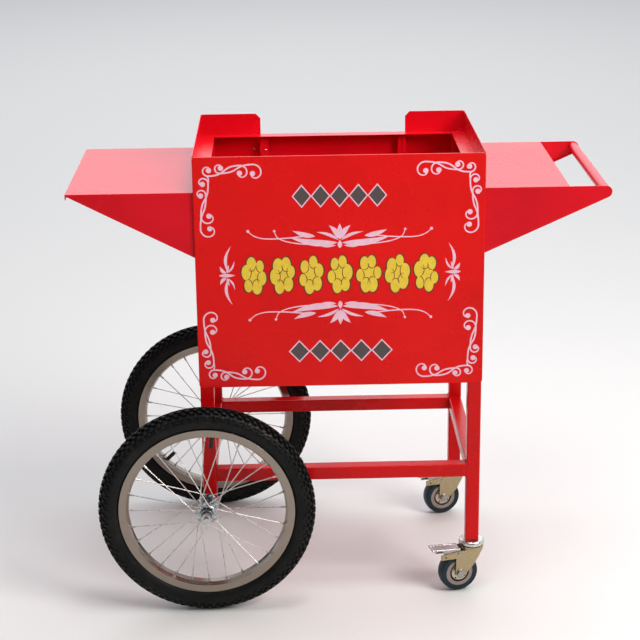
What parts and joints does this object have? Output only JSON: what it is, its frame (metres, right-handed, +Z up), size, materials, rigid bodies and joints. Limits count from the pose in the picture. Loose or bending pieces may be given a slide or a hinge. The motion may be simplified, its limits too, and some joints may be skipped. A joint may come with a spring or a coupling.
{
  "type": "popcorn cart",
  "caption": "Wheeled sheet-steel popcorn cart: open-topped cabinet with rear door, side shelf, push handle, spoked wheels and braked swivel casters.",
  "frame": {"origin": "on the floor, under the centre of the cart's bounding box", "axes": "+X along the cart from the shelf to the push handle, +Y from the decorated front to the rear door, +Z up"},
  "size_m": [0.97, 0.58, 0.85],
  "materials": {
    "red_cabinet": "gloss powder coat",
    "red_frame": "gloss powder coat",
    "red_bracket": "gloss powder coat",
    "red_door": "gloss powder coat",
    "black_knob": "polished",
    "catch_plastic": "moulded",
    "insert_plastic": "moulded",
    "zinc_hardware": "zinc plated",
    "axle_steel": "zinc plated",
    "tyre_rubber": "moulded tread",
    "tube_rubber": "smooth",
    "rim_steel": "plated",
    "spoke_steel": "plated wire",
    "hub_steel": "zinc plated",
    "caster_zinc": "yellow zinc plated",
    "pedal_zinc": "zinc plated",
    "caster_tread": "smooth elastic rubber",
    "caster_core": "moulded nylon"
  },
  "bodies": {
    "frame": {"front_panel": "red_cabinet", "left_side_panel": "red_cabinet", "right_side_panel": "red_cabinet", "rear_left_panel": "red_cabinet", "rear_right_panel": "red_cabinet", "rear_sill": "red_cabinet", "ledge_frame": "red_cabinet", "cabinet_floor": "red_cabinet", "front_left_leg": "red_frame", "back_left_leg": "red_frame", "front_right_leg": "red_frame", "back_right_leg": "red_frame", "front_stretcher": "red_frame", "back_stretcher": "red_frame", "left_stretcher": "red_frame", "right_stretcher": "red_frame", "left_shelf": "red_bracket", "handle_bracket": "red_bracket", "handle_tube": "red_bracket", "bracket_bolts": "zinc_hardware", "bracket_nuts": "zinc_hardware", "hinge_frame_leaves": "zinc_hardware", "hinge_pins": "zinc_hardware", "hinge_frame_rivets": "zinc_hardware", "door_catch": "catch_plastic", "wheel_axles": "axle_steel", "hub_cones": "axle_steel", "hub_balls": "axle_steel", "axle_nuts": "axle_steel", "axle_washers": "axle_steel", "caster_stems": "zinc_hardware", "caster_races": "caster_zinc", "leg_inserts": "insert_plastic"},
    "door": {"rear_door": "red_door", "door_knob": "black_knob", "hinge_door_leaves": "zinc_hardware", "hinge_door_rivets": "zinc_hardware", "door_strike": "zinc_hardware"},
    "front_wheel": {"front_tyre": "tyre_rubber", "front_inner_tube": "tube_rubber", "front_rim": "rim_steel", "front_spokes": "spoke_steel", "front_nipples": "spoke_steel", "front_hub": "hub_steel"},
    "back_wheel": {"back_tyre": "tyre_rubber", "back_inner_tube": "tube_rubber", "back_rim": "rim_steel", "back_spokes": "spoke_steel", "back_nipples": "spoke_steel", "back_hub": "hub_steel"},
    "front_fork": {"front_caster_fork": "caster_zinc", "front_caster_axle": "zinc_hardware"},
    "front_caster_wheel": {"front_caster_tread": "caster_tread", "front_caster_core": "caster_core"},
    "front_pedal": {"front_caster_pedal": "pedal_zinc"},
    "back_fork": {"back_caster_fork": "caster_zinc", "back_caster_axle": "zinc_hardware"},
    "back_caster_wheel": {"back_caster_tread": "caster_tread", "back_caster_core": "caster_core"},
    "back_pedal": {"back_caster_pedal": "pedal_zinc"}
  },
  "joints": [
    {"name": "door_hinge", "type": "hinge", "parent": "frame", "child": "door", "pos_m": [-0.1405, 0.192, 0.637], "axis": [0, 0, 1], "range_deg": [0, 110]},
    {"name": "front_wheel_spin", "type": "hinge", "parent": "frame", "child": "front_wheel", "pos_m": [-0.25, -0.237, 0.2], "axis": [0, 1, 0], "continuous": true},
    {"name": "back_wheel_spin", "type": "hinge", "parent": "frame", "child": "back_wheel", "pos_m": [-0.25, 0.237, 0.2], "axis": [0, 1, 0], "continuous": true},
    {"name": "front_caster_swivel", "type": "hinge", "parent": "frame", "child": "front_fork", "pos_m": [0.2453, -0.1743, 0.087], "axis": [0, 0, 1], "continuous": true},
    {"name": "front_caster_roll", "type": "hinge", "parent": "front_fork", "child": "front_caster_wheel", "pos_m": [0.21922, -0.18129, 0.0375], "axis": [0.2588, -0.9659, 0], "continuous": true},
    {"name": "front_brake_pedal", "type": "hinge", "parent": "front_fork", "child": "front_pedal", "pos_m": [0.21632, -0.18207, 0.078], "axis": [0.2588, -0.9659, 0], "range_deg": [0, 8.5], "stiffness_Nm_per_rad": 0.5},
    {"name": "back_caster_swivel", "type": "hinge", "parent": "frame", "child": "back_fork", "pos_m": [0.2453, 0.1743, 0.087], "axis": [0, 0, 1], "continuous": true},
    {"name": "back_caster_roll", "type": "hinge", "parent": "back_fork", "child": "back_caster_wheel", "pos_m": [0.21922, 0.16731, 0.0375], "axis": [0.2588, -0.9659, 0], "continuous": true},
    {"name": "back_brake_pedal", "type": "hinge", "parent": "back_fork", "child": "back_pedal", "pos_m": [0.21632, 0.16653, 0.078], "axis": [0.2588, -0.9659, 0], "range_deg": [0, 8.5], "stiffness_Nm_per_rad": 0.5}
  ]
}
